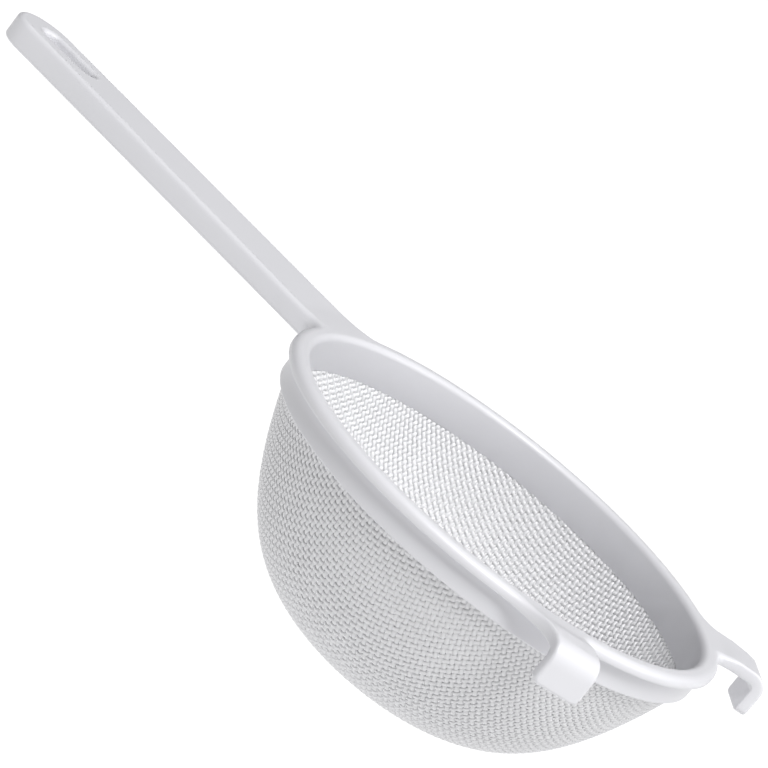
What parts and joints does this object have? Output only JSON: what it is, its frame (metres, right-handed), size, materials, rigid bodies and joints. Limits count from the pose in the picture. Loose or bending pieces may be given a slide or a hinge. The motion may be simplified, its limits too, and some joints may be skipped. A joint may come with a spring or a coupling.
{
  "type": "sieve strainer",
  "caption": "Round plastic sieve strainer with a deep bowl of woven mesh, a beaded rim with two pot hooks, and a long flat handle with a hanging slot.",
  "frame": {"origin": "centre of the flat at the bottom of the mesh bowl, on the ring's axis", "axes": "+Z along the ring's axis, up out of the bowl's mouth; -X along the handle; the two hooks lie either side of +X"},
  "size_m": [0.285, 0.14, 0.0613],
  "materials": {
    "white_plastic": "injection moulded, satin white",
    "woven_mesh": "plain-woven white nylon monofilament"
  },
  "bodies": {
    "root": {"rim_ring": "white_plastic", "clamp_band": "white_plastic", "handle": "white_plastic", "hook_left": "white_plastic", "hook_right": "white_plastic", "mesh_bowl": "woven_mesh"}
  },
  "joints": []
}
